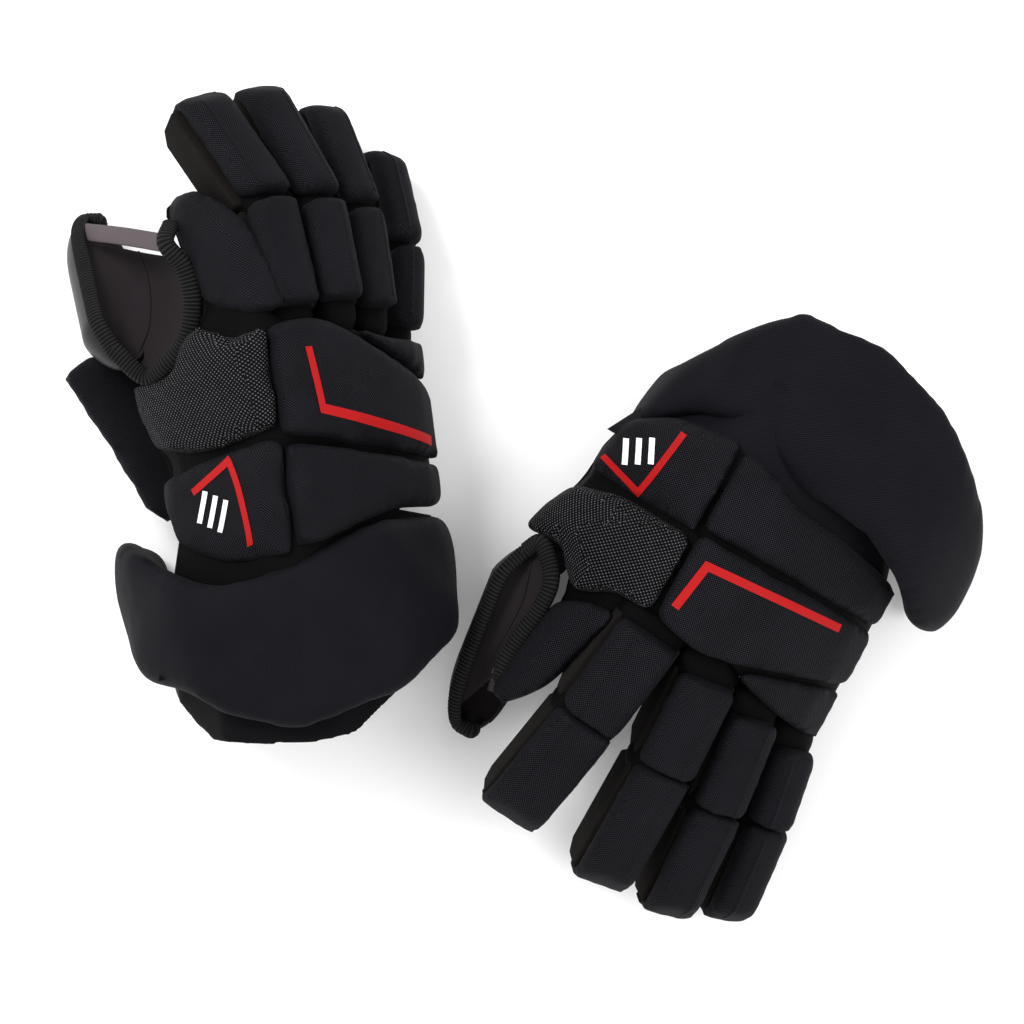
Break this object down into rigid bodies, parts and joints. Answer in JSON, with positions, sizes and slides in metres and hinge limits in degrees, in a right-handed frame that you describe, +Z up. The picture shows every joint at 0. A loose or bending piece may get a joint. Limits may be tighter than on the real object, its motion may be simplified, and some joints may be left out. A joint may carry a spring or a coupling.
{
  "type": "pair of ice hockey gloves",
  "caption": "Pair of padded ice hockey gloves with segmented foam-filled finger, knuckle and backhand rolls, leather thumbs and flared padded cuffs, lying palms down.",
  "frame": {"origin": "centre of the base of the pair's bounding box, on the surface the gloves lie on", "axes": "+Z up; +X along the pair's longest side, from the right-hand glove to the left-hand glove; the right glove's fingers point to about +Y"},
  "size_m": [0.4668, 0.4254, 0.1411],
  "materials": {
    "nylon_weave": "tight woven polyester over foam, blue-black, matt with a fine glint",
    "coarse_mesh": "open hexagonal mesh over foam, black with bright threads",
    "cuff_knit": "soft knitted cover over thick foam, black, matt",
    "cuff_lining_knit": "thin knitted sleeve with an elastic hem, black",
    "suede_palm": "soft napped synthetic suede, brown-black",
    "grey_liner": "brushed grey tricot lining",
    "thumb_leather": "smooth coated black leather with a low sheen",
    "ribbed_binding": "ribbed black elastic tape"
  },
  "bodies": {
    "right_hand": {"right_wrist_block": "nylon_weave", "right_thumb_base_block": "coarse_mesh", "right_wrist_roll": "nylon_weave", "right_backhand_roll": "nylon_weave", "right_knuckle_roll": "nylon_weave", "right_web_binding": "ribbed_binding", "right_hand_liner": "grey_liner", "right_palm": "suede_palm", "right_side_panel": "nylon_weave", "right_index_side_block": "nylon_weave"},
    "right_thumb": {"right_thumb_shell": "thumb_leather", "right_thumb_liner": "grey_liner"},
    "right_cuff": {"right_cuff_roll": "cuff_knit", "right_cuff_lining": "cuff_lining_knit"},
    "right_index_base": {"right_index_knuckle_pad": "nylon_weave", "right_index_base_stall": "suede_palm"},
    "right_index_tip": {"right_index_tip_pad": "nylon_weave", "right_index_tip_stall": "suede_palm"},
    "right_middle_base": {"right_middle_knuckle_pad": "nylon_weave", "right_middle_base_stall": "suede_palm"},
    "right_middle_tip": {"right_middle_tip_pad": "nylon_weave", "right_middle_tip_stall": "suede_palm"},
    "right_ring_base": {"right_ring_knuckle_pad": "nylon_weave", "right_ring_base_stall": "suede_palm"},
    "right_ring_tip": {"right_ring_tip_pad": "nylon_weave", "right_ring_tip_stall": "suede_palm"},
    "right_little_base": {"right_little_knuckle_pad": "nylon_weave", "right_little_base_stall": "suede_palm"},
    "right_little_tip": {"right_little_tip_pad": "nylon_weave", "right_little_tip_stall": "suede_palm"},
    "left_hand": {"left_wrist_block": "nylon_weave", "left_thumb_base_block": "coarse_mesh", "left_wrist_roll": "nylon_weave", "left_backhand_roll": "nylon_weave", "left_knuckle_roll": "nylon_weave", "left_web_binding": "ribbed_binding", "left_hand_liner": "grey_liner", "left_palm": "suede_palm", "left_side_panel": "nylon_weave", "left_index_side_block": "nylon_weave"},
    "left_thumb": {"left_thumb_shell": "thumb_leather", "left_thumb_liner": "grey_liner"},
    "left_cuff": {"left_cuff_roll": "cuff_knit", "left_cuff_lining": "cuff_lining_knit"},
    "left_index_base": {"left_index_knuckle_pad": "nylon_weave", "left_index_base_stall": "suede_palm"},
    "left_index_tip": {"left_index_tip_pad": "nylon_weave", "left_index_tip_stall": "suede_palm"},
    "left_middle_base": {"left_middle_knuckle_pad": "nylon_weave", "left_middle_base_stall": "suede_palm"},
    "left_middle_tip": {"left_middle_tip_pad": "nylon_weave", "left_middle_tip_stall": "suede_palm"},
    "left_ring_base": {"left_ring_knuckle_pad": "nylon_weave", "left_ring_base_stall": "suede_palm"},
    "left_ring_tip": {"left_ring_tip_pad": "nylon_weave", "left_ring_tip_stall": "suede_palm"},
    "left_little_base": {"left_little_knuckle_pad": "nylon_weave", "left_little_base_stall": "suede_palm"},
    "left_little_tip": {"left_little_tip_pad": "nylon_weave", "left_little_tip_stall": "suede_palm"}
  },
  "joints": [
    {"name": "right_index_knuckle_hinge", "type": "hinge", "parent": "right_hand", "child": "right_index_base", "pos_m": [-0.11313, 0.09123, 0.10728], "axis": [-0.8761, -0.121, 0.4668], "range_deg": [-5, 20], "stiffness_Nm_per_rad": 0.9},
    {"name": "right_index_middle_hinge", "type": "hinge", "parent": "right_index_base", "child": "right_index_tip", "pos_m": [-0.12578, 0.1438, 0.09717], "axis": [-0.8761, -0.121, 0.4668], "range_deg": [0, 25], "stiffness_Nm_per_rad": 0.5},
    {"name": "right_middle_knuckle_hinge", "type": "hinge", "parent": "right_hand", "child": "right_middle_base", "pos_m": [-0.09255, 0.09495, 0.09158], "axis": [-0.8393, -0.0633, 0.54], "range_deg": [-5, 20], "stiffness_Nm_per_rad": 0.9},
    {"name": "right_middle_middle_hinge", "type": "hinge", "parent": "right_middle_base", "child": "right_middle_tip", "pos_m": [-0.10285, 0.14489, 0.08142], "axis": [-0.8393, -0.0633, 0.54], "range_deg": [0, 25], "stiffness_Nm_per_rad": 0.5},
    {"name": "right_ring_knuckle_hinge", "type": "hinge", "parent": "right_hand", "child": "right_ring_base", "pos_m": [-0.07744, 0.0924, 0.07189], "axis": [-0.7941, 0.0104, 0.6077], "range_deg": [-5, 20], "stiffness_Nm_per_rad": 0.9},
    {"name": "right_ring_middle_hinge", "type": "hinge", "parent": "right_ring_base", "child": "right_ring_tip", "pos_m": [-0.08526, 0.1426, 0.06082], "axis": [-0.7941, 0.0104, 0.6077], "range_deg": [0, 25], "stiffness_Nm_per_rad": 0.5},
    {"name": "right_little_knuckle_hinge", "type": "hinge", "parent": "right_hand", "child": "right_little_base", "pos_m": [-0.06617, 0.08481, 0.04871], "axis": [-0.7382, 0.1897, 0.6473], "range_deg": [-5, 20], "stiffness_Nm_per_rad": 0.9},
    {"name": "right_little_middle_hinge", "type": "hinge", "parent": "right_little_base", "child": "right_little_tip", "pos_m": [-0.06573, 0.1262, 0.03707], "axis": [-0.7382, 0.1897, 0.6473], "range_deg": [0, 25], "stiffness_Nm_per_rad": 0.5},
    {"name": "right_thumb_hinge", "type": "hinge", "parent": "right_hand", "child": "right_thumb", "pos_m": [-0.19613, 0.07123, 0.08454], "axis": [-0.2523, -0.7015, -0.6665], "range_deg": [-2, 4], "stiffness_Nm_per_rad": 0.9},
    {"name": "right_cuff_hinge", "type": "hinge", "parent": "right_hand", "child": "right_cuff", "pos_m": [-0.11102, -0.02852, 0.03538], "axis": [0.9914, 0.1305, 0], "range_deg": [0, 8], "stiffness_Nm_per_rad": 6},
    {"name": "left_index_knuckle_hinge", "type": "hinge", "parent": "left_hand", "child": "left_index_base", "pos_m": [0.06709, -0.05563, 0.08954], "axis": [0.8106, -0.5487, -0.2046], "range_deg": [-5, 20], "stiffness_Nm_per_rad": 0.9},
    {"name": "left_index_middle_hinge", "type": "hinge", "parent": "left_index_base", "child": "left_index_tip", "pos_m": [0.03501, -0.09895, 0.07859], "axis": [0.8106, -0.5487, -0.2046], "range_deg": [0, 18], "stiffness_Nm_per_rad": 0.5},
    {"name": "left_middle_knuckle_hinge", "type": "hinge", "parent": "left_hand", "child": "left_middle_base", "pos_m": [0.09319, -0.0779, 0.07957], "axis": [0.8892, -0.3562, -0.2871], "range_deg": [-5, 20], "stiffness_Nm_per_rad": 0.9},
    {"name": "left_middle_middle_hinge", "type": "hinge", "parent": "left_middle_base", "child": "left_middle_tip", "pos_m": [0.07126, -0.12374, 0.06854], "axis": [0.8892, -0.3562, -0.2871], "range_deg": [0, 25], "stiffness_Nm_per_rad": 0.5},
    {"name": "left_ring_knuckle_hinge", "type": "hinge", "parent": "left_hand", "child": "left_ring_base", "pos_m": [0.11444, -0.09695, 0.06409], "axis": [0.8966, -0.2489, -0.3664], "range_deg": [-5, 20], "stiffness_Nm_per_rad": 0.9},
    {"name": "left_ring_middle_hinge", "type": "hinge", "parent": "left_ring_base", "child": "left_ring_tip", "pos_m": [0.09661, -0.14446, 0.05275], "axis": [0.8966, -0.2489, -0.3664], "range_deg": [0, 25], "stiffness_Nm_per_rad": 0.5},
    {"name": "left_little_knuckle_hinge", "type": "hinge", "parent": "left_hand", "child": "left_little_base", "pos_m": [0.13461, -0.11312, 0.04397], "axis": [0.8861, -0.1785, -0.4277], "range_deg": [-5, 20], "stiffness_Nm_per_rad": 0.9},
    {"name": "left_little_middle_hinge", "type": "hinge", "parent": "left_little_base", "child": "left_little_tip", "pos_m": [0.12195, -0.1531, 0.03444], "axis": [0.8861, -0.1785, -0.4277], "range_deg": [0, 25], "stiffness_Nm_per_rad": 0.5},
    {"name": "left_thumb_hinge", "type": "hinge", "parent": "left_hand", "child": "left_thumb", "pos_m": [0.01348, -0.01773, 0.04558], "axis": [-0.0262, -0.2588, 0.9656], "range_deg": [-2, 1.5], "stiffness_Nm_per_rad": 0.9},
    {"name": "left_cuff_hinge", "type": "hinge", "parent": "left_hand", "child": "left_cuff", "pos_m": [0.1487, 0.01768, 0.03009], "axis": [-0.8771, 0.4802, 0], "range_deg": [0, 8], "stiffness_Nm_per_rad": 6},
    {"name": "left_glove_lift", "type": "slide", "parent": "right_hand", "child": "left_hand", "axis": [0, 0, 1], "range_m": [0, 0.25]}
  ]
}
